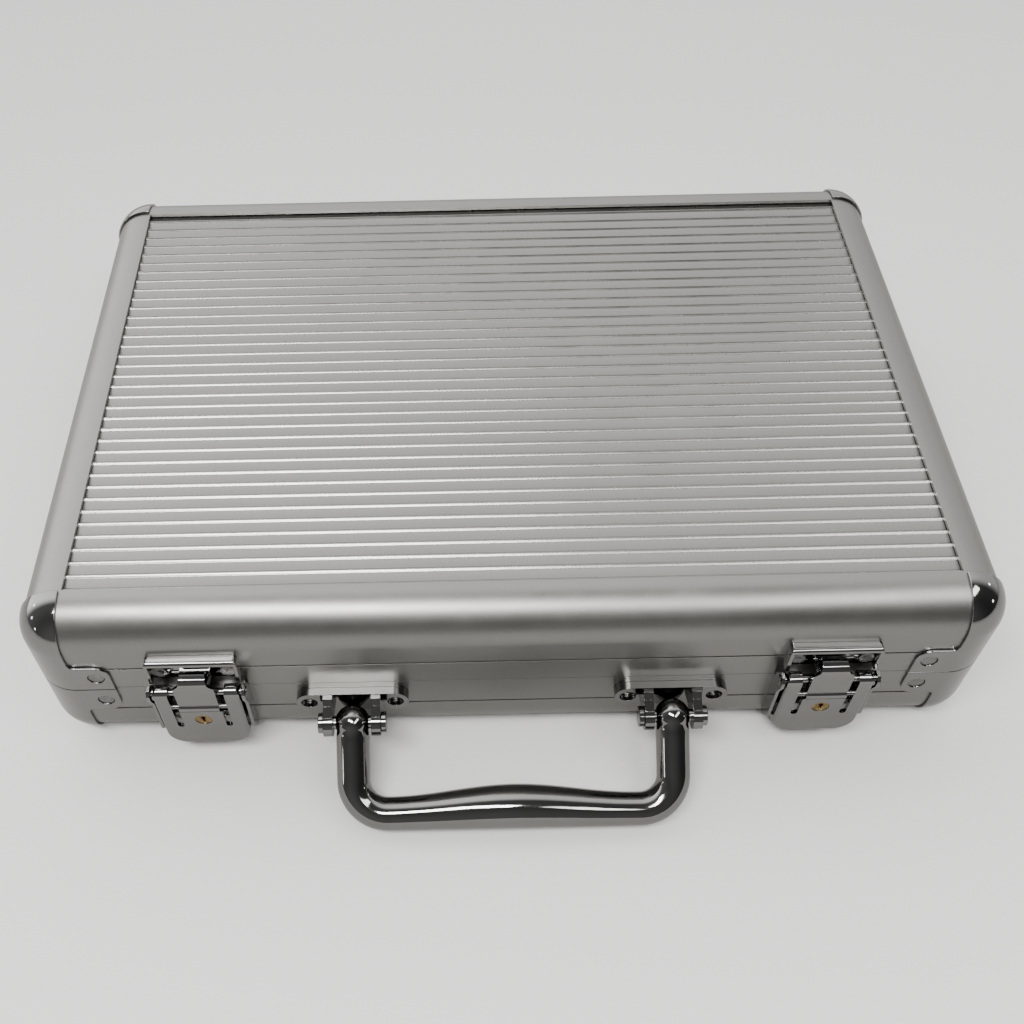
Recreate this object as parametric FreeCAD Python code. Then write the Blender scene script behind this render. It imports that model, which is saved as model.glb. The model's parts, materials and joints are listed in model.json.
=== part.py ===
"""Aluminium poker chip case, in millimetres.

+X is to the right, +Y to the rear and +Z up. The origin is the middle of the base panel's flat
underside. Hardware on the front is drawn in two distances: "out", forward from the front face,
and "up", above the line where the lid meets the base.
"""
import FreeCAD
import Part
import math
import os

V = FreeCAD.Vector
X_AXIS = V(1, 0, 0)
Y_AXIS = V(0, 1, 0)
Z_AXIS = V(0, 0, 1)

# Case body
WIDTH = 295.0
DEPTH = 208.0
HALF_HEIGHT = 32.0                          # from the seam to the outer lip of either half
SEAM_GAP = 0.1                              # each half stops this far short of the seam
EDGE_RADIUS = 13.5
LIP_WIDTH = 14.5
LIP_THICKNESS = 1.2
RAIL_WALL = 1.8
FLANGE_THICKNESS = 1.5
LID_GROOVE_UP = 10.5
BASE_GROOVE_DOWN = 12.8
GROOVE_HALF_WIDTH = 0.35
GROOVE_DEPTH = 0.7
TONGUE_CLEARANCE = 0.3
TONGUE_THICKNESS = 1.2
TONGUE_RISE = 3.0
TONGUE_ROOT = 3.4
TONGUE_END = 17.0                           # the tongue stops this far from each corner
TONGUE_OVERLAP = 0.4                        # how deep its root runs into the rail's wall
CORNER_TRIM_SLACK = 0.02                    # the rails are trimmed to the ball corners, this much larger

# Ribbed panels
PANEL_RECESS = 1.5                          # from the lip to the flats between the ribs
PANEL_THICKNESS = 2.7
PANEL_EDGE = 11.5                           # the panel's edge, in from the outer face
SLOT_EDGE = 11.2
RIB_PITCH = 5.0
RIB_COUNT = 36
FIRST_RIB_Y = -88.75
RIB_WIDTH = 1.4
RIB_HEIGHT = 0.6
WINDOW_GAP = 0.2                            # the ribbed face stops this far inside the lips
EDGE_REBATE = 0.2                           # the sheet's edge, under the lips, is thinner by this

SEAM = HALF_HEIGHT - PANEL_RECESS           # height of the seam above the base panel's flats
FRONT = -DEPTH / 2
SLOT_ROOF = HALF_HEIGHT - LIP_THICKNESS
PANEL_FLAT = HALF_HEIGHT - PANEL_RECESS
PANEL_BACK = PANEL_FLAT - PANEL_THICKNESS
FLANGE_TOP = PANEL_BACK - 0.1
FLANGE_BOTTOM = FLANGE_TOP - FLANGE_THICKNESS

# Corner caps
CAP_GAP = 0.05
CAP_THICKNESS = 0.8
CAP_SQUARE = 13.9
TAB_END = 25.4
TAB_HEIGHT = 12.0
TAB_END_RADIUS = 4.6
TAB_ROOT_RADIUS = 2.0
CAP_RIVET_FROM_EDGE = 20.9
CAP_RIVET_FROM_SEAM = 6.4

# Rivets
SHANK_RADIUS = 1.3
TAIL_RADIUS = 2.1
TAIL_THICKNESS = 0.7
HEAD_RADIUS = 2.4
HEAD_THICKNESS = 0.45
DISH_DEPTH = 0.25
DISH_RADIUS = 1.7

# Linings, pad and chip tray
LINING_INSET = 5.2
LINING_THICKNESS = 1.2
LINING_FLOOR = FLANGE_BOTTOM - 0.1
LINING_EDGE_RADIUS = 8.0
PAD_THICKNESS = 7.6
PAD_INSET = 0.8
TRAY_INSET = 0.4
TRAY_TOP_DOWN = 3.5
TRAY_SHEET = 1.2
CHIP_CHANNEL_RADIUS = 20.1
CHIP_CHANNEL_LENGTH = 174.0
CHIP_CHANNEL_PITCH = 43.0
CHIP_CHANNEL_COUNT = 4
FIRST_CHANNEL_X = -116.5
CARD_WELL = (37.0, 104.0)                   # X from, X to
DICE_WELL = (108.0, 135.0)
WELL_DEPTHS = {CARD_WELL: 18.5, DICE_WELL: 20.0}
WELL_LENGTH = 91.0
WELL_SPACING = 4.0

# Draw latches, drawn in (out, up)
LATCH_X = 96.0
LATCH_SHEET = 1.2
LATCH_PLATE_HALF_WIDTH = 14.9
LATCH_PLATE_FLANGE = 1.0
LATCH_PLATE_BOTTOM = -21.8
LATCH_PLATE_TOP = -0.6
FLANGE_OUT = 5.2
FLANGE_FOOT_OUT = 2.2
FLANGE_FLAT_UP = (-17.0, -2.0)              # the flanges reach all the way out between these heights
PIN_HEAD_EXTRA = 0.5
KEEPER_X = (4.0, 6.3, 7.3)                  # hook from, wall from, wall to
KEEPER_OUT = (3.7, 4.6)
KEEPER_HALF_HEIGHT = 1.6
LEVER_PIVOT = (4.4, 3.8)
LEVER_KNUCKLE_RADIUS = 2.4
LEVER_PIN_RADIUS = 1.1
LEVER_FRONT = 6.8
LEVER_SHEET = 1.4
LEVER_HALF_WIDTH = 13.2
LEVER_BOTTOM = -24.4
LEVER_CORNER_RADIUS = 6.5
LEVER_WALL_BACK = 3.2
LEVER_WALL = 1.1
LEVER_WALL_TOP = 0.6
LEVER_EDGE_ROUND = 1.0
LEVER_SHOULDER_RADIUS = 2.0
LEVER_EYE_ROOM = 0.35                       # between the draw link's eye and the lever's window
LUG_THICKNESS = 1.4
LUG_HALF_HEIGHT = 1.8
LUG_BACK = 4.1
LEVER_SLOT = (6.6, 8.6)
LEVER_SLOT_BOTTOM = -12.5
LINK_PIVOT = (5.9, -2.4)
LINK_EYE_RADIUS = 1.7
LINK_PIN_RADIUS = 0.8
LINK_PIN_GRIP = 1.0
LINK_HALF_WIDTH = 6.2
LINK_HOOK_HALF_WIDTH = 4.3
LINK_SHEET = 1.0
LINK_BACK = 5.8                             # the strap's inner face
LINK_BEND = ((0.0, 9.2), (0.45, 10.9), (1.7, 12.1))   # in from the strap's face, and up
LINK_SHOULDERS_UP = (8.6, 10.4)             # the strap narrows between these heights
HOOK_TOP = 12.6
HOOK_INNER_UP = (10.25, 10.7)               # its inner face, at its end and at the strap
HOOK_END_THICKNESS = 1.0
HOOK_END_OUT = 2.7
HOOK_TAPER = 0.8
RUNNING_CLEARANCE = 0.05
THROUGH = 14.0                              # longer than any cut through the latch
CATCH_HALF_WIDTH = 13.8
CATCH_BOTTOM = 6.9
CATCH_TOP = 17.5
CATCH_RIM = 3.3
CATCH_RIM_SHEET = 1.1
CATCH_TOP_SHEET = 1.6
CATCH_EDGE_ROUND = 1.3
CATCH_NOSE = ((0.55, 7.0), (4.4, 7.4), (5.5, 8.6), (5.5, 10.4), (0.55, 9.7))
CATCH_NOSE_HALF_WIDTH = 4.6
KEY_UP = -9.4
KEY_RADIUS = 2.6
KEY_INNER_END = 2.3
CAM_THICKNESS = 1.0
CAM_REACH = 5.6
CAM_HUB_RADIUS = 2.0
CAM_HALF_WIDTH = 1.3
KEY_RECESS = 0.15
KEYWAY_HALF_WIDTH = 0.45
KEYWAY_HALF_HEIGHT = 1.5
KEYWAY_ROUND_RADIUS = 0.75
KEYWAY_ROUND_UP = 1.0                       # above the keyway's middle
KEYWAY_DEPTH = 2.2
LATCH_RIVETS = ((-9.5, -7.0), (9.5, -7.0), (-9.5, -15.5), (9.5, -15.5))
CATCH_RIVETS = ((-10.3, 10.6), (10.3, 10.6))

# Handle and its brackets
BRACKET_X = 49.5
BRACKET_HALF_WIDTH = 17.5
BRACKET_END_RADIUS = 4.8
BRACKET_MIDDLE_UP = -6.3
BRACKET_THICKNESS = 3.4
BRACKET_RIVET_X = 13.4
EAR_GAP = 11.9
EAR_THICKNESS = 2.9
EAR_NOSE_RADIUS = 4.2
EAR_ROOT_OUT = 1.0                          # the ears start inside the plate, this far out
EAR_HEEL_OUT = 3.0
EAR_BROW = ((1.0, 0.2), (4.6, 0.6), (6.2, 2.4))       # out, and down from the plate's top
HANDLE_PIVOT = (9.0, -9.0)
HANDLE_PIN_RADIUS = 2.0
PIN_HEAD_RADIUS = 3.2
PIN_HEAD_LENGTH = 1.7
BRACKET_RECESS_FLOOR = 1.0
HANDLE_REACH = 28.5
HANDLE_DROP_DEG = 38.0
HANDLE_RADIUS = 5.15
HANDLE_BULGE = 1.6
HANDLE_CORNER_RADIUS = 10.5
HANDLE_BALL_RADIUS = 5.45
GRIP_SECTIONS = 9

# Rear hinges
HINGE_X = 88.0
HINGE_HALF_WIDTH = 19.0
HINGE_KNUCKLES = 5
HINGE_SHEET = 1.2
HINGE_LEAF_TOP = 14.0
HINGE_AXIS_OUT = 3.0
HINGE_KNUCKLE_RADIUS = 2.6
HINGE_KNUCKLE_GAP = 0.15
HINGE_PIN_RADIUS = 1.2
HINGE_RIVETS = ((-13.0, 9.0), (0.0, 9.0), (13.0, 9.0))


# ---------- helpers ----------

def save(shape, node):
    """Writes one node's STEP file."""
    if not shape.isValid():
        raise ValueError(node + " is not a valid shape")
    shape.exportStep("parts/" + node + ".step")
    print(node, len(shape.Solids), round(shape.Volume, 1))


def fuse(shapes):
    """Joins shapes that meet into one clean solid."""
    return shapes[0].multiFuse(shapes[1:]).removeSplitter()


def box(low, high):
    """A box between two corners, in case coordinates."""
    size = [high[i] - low[i] for i in range(3)]
    return Part.makeBox(size[0], size[1], size[2], V(*low))


def at(x, out, up):
    """A point on the front hardware, in case coordinates."""
    return V(x, FRONT - out, SEAM + up)


def closed_face(corners):
    """A flat face from points; a point given as (mid, end) ends an arc."""
    edges = []
    last = corners[0]
    for item in corners[1:] + [corners[0]]:
        if isinstance(item, tuple):
            edges.append(Part.Arc(last, item[0], item[1]).toShape())
            last = item[1]
        elif (item - last).Length > 1e-6:
            edges.append(Part.LineSegment(last, item).toShape())
            last = item
    return Part.Face(Part.Wire(edges))


def side_prism(outline, x_from, x_to):
    """An (out, up) outline pushed along X."""
    face = closed_face([at(x_from, out, up) for out, up in outline])
    return face.extrude(V(x_to - x_from, 0, 0))


def rod(x_from, x_to, out, up, radius):
    """A round bar along X on the front hardware."""
    return Part.makeCylinder(radius, x_to - x_from, at(x_from, out, up), X_AXIS)


def peg(x, up, out_from, out_to, radius):
    """A round peg that stands straight out of the front face."""
    return Part.makeCylinder(radius, out_to - out_from, at(x, out_from, up), V(0, -1, 0))


def front_block(x_from, x_to, out_from, out_to, up_from, up_to):
    """A box on the front hardware."""
    return box((x_from, FRONT - out_to, SEAM + up_from), (x_to, FRONT - out_from, SEAM + up_to))


def to_side(shape, side):
    """Moves something drawn on the front to another side of the case."""
    turns = {"front": 0, "right": 90, "rear": 180, "left": 270}
    moved = shape.copy()
    moved.rotate(V(0, 0, 0), Z_AXIS, turns[side])
    if side in ("left", "right"):
        shift = (WIDTH - DEPTH) / 2
        moved.translate(V(shift if side == "right" else -shift, 0, 0))
    return moved


def to_base(shape):
    """Mirrors something drawn on the lid half down to the base half."""
    return shape.mirror(V(0, 0, SEAM), Z_AXIS)


def mirror_x(shape):
    return shape.mirror(V(0, 0, 0), X_AXIS)


# ---------- rivets ----------

def rivet(x, up, seat_out, wall=RAIL_WALL):
    """A dished rivet through the front wall, with its head on a plate's recess floor."""
    head = peg(x, up, seat_out, seat_out + HEAD_THICKNESS, HEAD_RADIUS)
    shank = peg(x, up, -wall, seat_out, SHANK_RADIUS)
    tail = peg(x, up, -wall - TAIL_THICKNESS, -wall, TAIL_RADIUS)
    dish = Part.makeCone(0.0, DISH_RADIUS, DISH_DEPTH, at(x, seat_out + HEAD_THICKNESS - DISH_DEPTH, up),
                         V(0, -1, 0))
    return fuse([head, shank, tail]).cut(dish)


def rivet_hole(x, up):
    return peg(x, up, -RAIL_WALL - TONGUE_THICKNESS, LATCH_SHEET + BRACKET_THICKNESS, SHANK_RADIUS)


def rivet_recess(x, up, seat_out, surface_out):
    """The countersink that a rivet head sits in."""
    return peg(x, up, seat_out, surface_out + 0.1, HEAD_RADIUS + 0.15)


# ---------- frame ----------

def rail_face(x, groove_up):
    """The section of the lid's front rail, at one X."""
    inner = EDGE_RADIUS - RAIL_WALL
    centre_in = EDGE_RADIUS
    centre_up = HALF_HEIGHT - EDGE_RADIUS
    turn = math.asin((FLANGE_BOTTOM - centre_up) / inner)

    def on(distance_in, up):
        return at(x, -distance_in, up)

    def on_arc(radius, angle):
        return on(centre_in - radius * math.cos(angle), centre_up + radius * math.sin(angle))

    return closed_face([
        on(0, SEAM_GAP),
        on(0, groove_up - GROOVE_HALF_WIDTH),
        on(GROOVE_DEPTH, groove_up - GROOVE_HALF_WIDTH),
        on(GROOVE_DEPTH, groove_up + GROOVE_HALF_WIDTH),
        on(0, groove_up + GROOVE_HALF_WIDTH),
        on(0, centre_up),
        (on_arc(EDGE_RADIUS, math.pi / 4), on_arc(EDGE_RADIUS, math.pi / 2)),
        on(LIP_WIDTH, HALF_HEIGHT),
        on(LIP_WIDTH, SLOT_ROOF),
        on(SLOT_EDGE, SLOT_ROOF),
        on(SLOT_EDGE, FLANGE_TOP),
        on(LIP_WIDTH, FLANGE_TOP),
        on(LIP_WIDTH, FLANGE_BOTTOM),
        on_arc(inner, turn),
        (on_arc(inner, turn / 2), on_arc(inner, 0)),
        on(RAIL_WALL, SEAM_GAP),
    ])


def rounded_block(grow):
    """The lid half's outer form with ball corners, grown a little all round."""
    radius = EDGE_RADIUS + grow
    half_w = WIDTH / 2 + grow
    half_d = DEPTH / 2 + grow
    top = SEAM + HALF_HEIGHT + grow
    block = box((-half_w, -half_d, SEAM), (half_w, half_d, top))
    rounded = []
    for edge in block.Edges:
        ends = [vertex.Z for vertex in edge.Vertexes]
        upright = abs(ends[0] - ends[1]) > 1.0
        if upright or min(ends) > SEAM + 1.0:
            rounded.append(edge)
    return block.makeFillet(radius, rounded)


def rail(length, groove_up, core, side, holes, tongue):
    """One mitred extrusion of the lid half, on its own side."""
    bar = rail_face(-length / 2, groove_up).extrude(V(length, 0, 0))
    reach = LIP_WIDTH + 1.0
    half = length / 2
    plan = [V(-half, FRONT, SEAM), V(half, FRONT, SEAM), V(half - reach, FRONT + reach, SEAM),
            V(-half + reach, FRONT + reach, SEAM)]
    wedge = closed_face(plan).extrude(V(0, 0, HALF_HEIGHT))
    bar = to_side(bar.common(wedge), side).common(core)
    if tongue:
        bar = fuse([bar, to_side(tongue_bar(length), side)])
    for hole in holes:
        bar = bar.cut(to_side(hole, side))
    return bar


def tongue_bar(length):
    """The base's inner tongue, drawn for the mirrored half, so it reaches below the seam."""
    end = length / 2 - TONGUE_END
    face_in = RAIL_WALL + TONGUE_CLEARANCE
    back_in = face_in + TONGUE_THICKNESS
    blade = front_block(-end, end, -back_in, -face_in, -TONGUE_RISE, TONGUE_ROOT)
    root = front_block(-end, end, -face_in, -RAIL_WALL + TONGUE_OVERLAP, SEAM_GAP, TONGUE_ROOT)
    return fuse([blade, root])


def corner_rivet_spots(length):
    reach = length / 2 - CAP_RIVET_FROM_EDGE
    return [(-reach, CAP_RIVET_FROM_SEAM), (reach, CAP_RIVET_FROM_SEAM)]


def holes_at(spots):
    return [rivet_hole(x, up) for x, up in spots]


def ribbed_panel():
    """The lid's panel: one sheet with rounded ribs along X."""
    edge_y = DEPTH / 2 - PANEL_EDGE
    edge_x = WIDTH / 2 - PANEL_EDGE
    flat = SEAM + PANEL_FLAT
    corners = [V(-edge_x, -edge_y, SEAM + PANEL_BACK), V(-edge_x, -edge_y, flat)]
    for index in range(RIB_COUNT):
        y = FIRST_RIB_Y + RIB_PITCH * index
        corners.append(V(-edge_x, y - RIB_WIDTH / 2, flat))
        corners.append((V(-edge_x, y, flat + RIB_HEIGHT), V(-edge_x, y + RIB_WIDTH / 2, flat)))
    corners.append(V(-edge_x, edge_y, flat))
    corners.append(V(-edge_x, edge_y, SEAM + PANEL_BACK))
    sheet = closed_face(corners).extrude(V(2 * edge_x, 0, 0))
    window_x = WIDTH / 2 - LIP_WIDTH - WINDOW_GAP
    window_y = DEPTH / 2 - LIP_WIDTH - WINDOW_GAP
    low = flat - EDGE_REBATE
    high = flat + 2 * RIB_HEIGHT
    border = box((-WIDTH, -DEPTH, low), (WIDTH, DEPTH, high))
    return sheet.cut(border.cut(box((-window_x, -window_y, low), (window_x, window_y, high))))


def front_left_cap(shell):
    """One chrome corner of the lid half, without its rivet holes."""
    left = -WIDTH / 2
    reach = 4.0

    def on(inset, up):
        return V(left + inset, FRONT - reach, SEAM + up)

    bend = 1 - math.sqrt(0.5)
    tab = closed_face([
        on(-reach, SEAM_GAP),
        on(TAB_END, SEAM_GAP),
        on(TAB_END, TAB_HEIGHT - TAB_END_RADIUS),
        (on(TAB_END - TAB_END_RADIUS * bend, TAB_HEIGHT - TAB_END_RADIUS * bend),
         on(TAB_END - TAB_END_RADIUS, TAB_HEIGHT)),
        on(CAP_SQUARE + TAB_ROOT_RADIUS, TAB_HEIGHT),
        (on(CAP_SQUARE + TAB_ROOT_RADIUS * bend, TAB_HEIGHT + TAB_ROOT_RADIUS * bend),
         on(CAP_SQUARE, TAB_HEIGHT + TAB_ROOT_RADIUS)),
        on(-reach, TAB_HEIGHT + TAB_ROOT_RADIUS),
    ])
    front_tab = tab.extrude(V(0, 2 * reach, 0))
    corner = V(left, FRONT, 0)
    side_tab = front_tab.mirror(corner, V(1, -1, 0))
    square = box((left - reach, FRONT - reach, SEAM + SEAM_GAP),
                 (left + CAP_SQUARE, FRONT + CAP_SQUARE, SEAM + HALF_HEIGHT + reach))
    return shell.common(fuse([front_tab, side_tab, square]))


def corner_caps(shell):
    """The lid half's four corners, by place."""
    cap = front_left_cap(shell)
    seat = CAP_GAP
    for side, length in (("front", WIDTH), ("left", DEPTH)):
        for x, up in corner_rivet_spots(length):
            recess = rivet_recess(x, up, seat, CAP_GAP + CAP_THICKNESS)
            cap = cap.cut(to_side(recess, side))
    rear = cap.mirror(V(0, 0, 0), Y_AXIS)
    return {"front_left": cap, "front_right": mirror_x(cap), "rear_left": rear, "rear_right": mirror_x(rear)}


def corner_rivets():
    made = []
    for side, length in (("front", WIDTH), ("rear", WIDTH), ("left", DEPTH), ("right", DEPTH)):
        for x, up in corner_rivet_spots(length):
            made.append(to_side(rivet(x, up, CAP_GAP), side))
    return Part.makeCompound(made)


# ---------- inside ----------

def rounded_box(inset, up_from, up_to, radius):
    """A box inside the lid half with rounded upright edges."""
    half_w = WIDTH / 2 - inset
    half_d = DEPTH / 2 - inset
    block = box((-half_w, -half_d, SEAM + up_from), (half_w, half_d, SEAM + up_to))
    upright = [edge for edge in block.Edges if abs(edge.Vertexes[0].Z - edge.Vertexes[1].Z) > 1.0]
    return block.makeFillet(radius, upright)


def lining():
    """The lid half's lining: a shallow box with its floor against the panel."""
    outer = rounded_box(LINING_INSET, 2 * SEAM_GAP, LINING_FLOOR, LINING_EDGE_RADIUS)
    room = rounded_box(LINING_INSET + LINING_THICKNESS, 0, LINING_FLOOR - LINING_THICKNESS,
                       LINING_EDGE_RADIUS - LINING_THICKNESS)
    return outer.cut(room)


def foam_pad():
    top = LINING_FLOOR - LINING_THICKNESS
    inset = LINING_INSET + LINING_THICKNESS + PAD_INSET
    return rounded_box(inset, top - PAD_THICKNESS, top, LINING_EDGE_RADIUS - 2 * LINING_THICKNESS)


def well_places():
    """Each rectangular well as (X from, X to, Y from, Y to, depth)."""
    places = []
    for span, depth in WELL_DEPTHS.items():
        for y_from in (-WELL_LENGTH - WELL_SPACING / 2, WELL_SPACING / 2):
            places.append((span[0], span[1], y_from, y_from + WELL_LENGTH, depth))
    return places


def chip_tray():
    """The formed insert: half-round channels for chips, and wells for cards and dice."""
    top = SEAM - TRAY_TOP_DOWN
    inset = LINING_INSET + LINING_THICKNESS + TRAY_INSET
    half_w = WIDTH / 2 - inset
    half_d = DEPTH / 2 - inset
    sheet = box((-half_w, -half_d, top - TRAY_SHEET), (half_w, half_d, top))
    upright = [edge for edge in sheet.Edges if abs(edge.Vertexes[0].Z - edge.Vertexes[1].Z) > 1.0]
    solids = [sheet.makeFillet(LINING_EDGE_RADIUS - 2 * LINING_THICKNESS, upright)]
    rooms = []
    half_length = CHIP_CHANNEL_LENGTH / 2
    for index in range(CHIP_CHANNEL_COUNT):
        x = FIRST_CHANNEL_X + CHIP_CHANNEL_PITCH * index
        start = V(x, -half_length - TRAY_SHEET, top)
        solids.append(Part.makeCylinder(CHIP_CHANNEL_RADIUS + TRAY_SHEET,
                                        CHIP_CHANNEL_LENGTH + 2 * TRAY_SHEET, start, Y_AXIS))
        rooms.append(Part.makeCylinder(CHIP_CHANNEL_RADIUS, CHIP_CHANNEL_LENGTH,
                                       V(x, -half_length, top), Y_AXIS))
    for x_from, x_to, y_from, y_to, depth in well_places():
        low = (x_from - TRAY_SHEET, y_from - TRAY_SHEET, top - depth - TRAY_SHEET)
        high = (x_to + TRAY_SHEET, y_to + TRAY_SHEET, top)
        solids.append(box(low, high))
        rooms.append(box((x_from, y_from, top - depth), (x_to, y_to, top + 1.0)))
    lid_room = box((-WIDTH, -DEPTH, top), (WIDTH, DEPTH, top + 2 * CHIP_CHANNEL_RADIUS + 10.0))
    return fuse(solids).cut(lid_room).cut(Part.makeCompound(rooms))


# ---------- latches ----------

def latch_plate(x):
    """The latch's fixed plate on the base, with its two side flanges and the lock's keeper."""
    half = LATCH_PLATE_HALF_WIDTH
    back = front_block(x - half, x + half, 0, LATCH_SHEET, LATCH_PLATE_BOTTOM, LATCH_PLATE_TOP)
    pivot_out, pivot_up = LEVER_PIVOT
    nose = LEVER_KNUCKLE_RADIUS
    flat_from, flat_to = FLANGE_FLAT_UP
    flange_outline = [(0, LATCH_PLATE_BOTTOM), (FLANGE_FOOT_OUT, LATCH_PLATE_BOTTOM),
                      (FLANGE_OUT, flat_from), (FLANGE_OUT, flat_to), (pivot_out + nose, pivot_up - 1.5),
                      (pivot_out + nose, pivot_up + 1.0), (pivot_out + 1.0, pivot_up + nose),
                      (pivot_out - 1.0, pivot_up + nose), (LATCH_SHEET / 2, 2.0),
                      (LATCH_SHEET / 2, LATCH_PLATE_TOP), (0, LATCH_PLATE_TOP)]
    left = side_prism(flange_outline, x - half, x - half + LATCH_PLATE_FLANGE)
    right = side_prism(flange_outline, x + half - LATCH_PLATE_FLANGE, x + half)
    low = KEY_UP - KEEPER_HALF_HEIGHT
    high = KEY_UP + KEEPER_HALF_HEIGHT
    hook_x, wall_x, wall_end_x = KEEPER_X
    keeper_wall = front_block(x + wall_x, x + wall_end_x, LATCH_SHEET, KEEPER_OUT[1], low, high)
    keeper_hook = front_block(x + hook_x, x + wall_end_x, KEEPER_OUT[0], KEEPER_OUT[1], low, high)
    plate = fuse([back, left, right, keeper_wall, keeper_hook])
    plate = plate.cut(rod(x - half - 1, x + half + 1, pivot_out, pivot_up, LEVER_PIN_RADIUS))
    for offset, up in LATCH_RIVETS:
        plate = plate.cut(rivet_hole(x + offset, up))
    return plate


def lever_pin(x):
    out, up = LEVER_PIVOT
    half = LATCH_PLATE_HALF_WIDTH
    head_end = half + PIN_HEAD_EXTRA
    head_radius = LEVER_PIN_RADIUS + PIN_HEAD_EXTRA
    return fuse([rod(x - half, x + half, out, up, LEVER_PIN_RADIUS),
                 rod(x - head_end, x - half, out, up, head_radius),
                 rod(x + half, x + head_end, out, up, head_radius)])


def latch_lever(x):
    """The flap that is lifted: a plate with rolled knuckles, side walls, slots and a key hole."""
    back = LEVER_FRONT - LEVER_SHEET
    half = LEVER_HALF_WIDTH
    slot_in, slot_out = LEVER_SLOT
    pivot_out, pivot_up = LEVER_PIVOT
    pin_out, pin_up = LINK_PIVOT
    parts = [lever_skin(x)]
    for low in (-half, half - LEVER_WALL):
        parts.append(front_block(x + low, x + low + LEVER_WALL, LEVER_WALL_BACK, back + 0.1,
                                 LEVER_BOTTOM, LEVER_WALL_TOP))
    for low in (-slot_out - LUG_THICKNESS, slot_out):
        parts.append(front_block(x + low, x + low + LUG_THICKNESS, LUG_BACK, back,
                                 pin_up - LUG_HALF_HEIGHT, pin_up + LUG_HALF_HEIGHT))
    for low in (-half, slot_out):
        parts.append(rod(x + low, x + low + half - slot_out, pivot_out, pivot_up, LEVER_KNUCKLE_RADIUS))
    lever = fuse(parts).common(lever_front_mask(x))
    window_bottom = pin_up - LINK_EYE_RADIUS - LEVER_EYE_ROOM
    cuts = [front_block(x - slot_out, x + slot_out, 0, THROUGH, window_bottom, THROUGH)]
    width = slot_out - slot_in
    for low in (-slot_out, slot_in):
        cuts.append(front_block(x + low, x + low + width, 0, THROUGH, LEVER_SLOT_BOTTOM, window_bottom + 0.1))
        cuts.append(peg(x + low + width / 2, LEVER_SLOT_BOTTOM, 0, THROUGH, width / 2))
    cuts.append(rod(x - half - 1, x + half + 1, pivot_out, pivot_up, LEVER_PIN_RADIUS + RUNNING_CLEARANCE))
    pin_reach = slot_out + LINK_PIN_GRIP
    cuts.append(rod(x - pin_reach, x + pin_reach, pin_out, pin_up, LINK_PIN_RADIUS))
    cuts.append(peg(x, KEY_UP, 0, THROUGH, KEY_RADIUS + RUNNING_CLEARANCE))
    for cut in cuts:
        lever = lever.cut(cut)
    return lever


def lever_skin(x):
    """The flap's front sheet up to the pivot, rounded down both sides and along the bottom."""
    half = LEVER_HALF_WIDTH
    back = LEVER_FRONT - LEVER_SHEET
    block = front_block(x - half, x + half, back, LEVER_FRONT, LEVER_BOTTOM, LEVER_PIVOT[1])
    sheet = block.common(lever_front_mask(x))
    rounded = []
    for edge in sheet.Edges:
        middle = edge.valueAt((edge.FirstParameter + edge.LastParameter) / 2)
        on_front = all(abs(vertex.Y - (FRONT - LEVER_FRONT)) < 0.01 for vertex in edge.Vertexes)
        if on_front and middle.z < SEAM + LEVER_PIVOT[1] - 0.01:
            rounded.append(edge)
    return sheet.makeFillet(LEVER_EDGE_ROUND, rounded)


def lever_front_mask(x):
    """The flap's outline seen from the front, with large lower corners and small shoulders."""
    half = LEVER_HALF_WIDTH
    foot = LEVER_CORNER_RADIUS
    bend = 1 - math.sqrt(0.5)
    shoulder = LEVER_SHOULDER_RADIUS
    top = LEVER_PIVOT[1] + LEVER_KNUCKLE_RADIUS + 0.05

    def on(offset, up):
        return at(x + offset, -1.0, up)

    outline = closed_face([
        on(-half, LEVER_BOTTOM + foot),
        (on(-half + foot * bend, LEVER_BOTTOM + foot * bend), on(-half + foot, LEVER_BOTTOM)),
        on(half - foot, LEVER_BOTTOM),
        (on(half - foot * bend, LEVER_BOTTOM + foot * bend), on(half, LEVER_BOTTOM + foot)),
        on(half, top - shoulder),
        (on(half - shoulder * bend, top - shoulder * bend), on(half - shoulder, top)),
        on(-half + shoulder, top),
        (on(-half + shoulder * bend, top - shoulder * bend), on(-half, top - shoulder)),
    ])
    return outline.extrude(V(0, -THROUGH, 0))


def link_pin(x):
    reach = LEVER_SLOT[1] + LINK_PIN_GRIP
    return rod(x - reach, x + reach, LINK_PIVOT[0], LINK_PIVOT[1], LINK_PIN_RADIUS)


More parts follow.
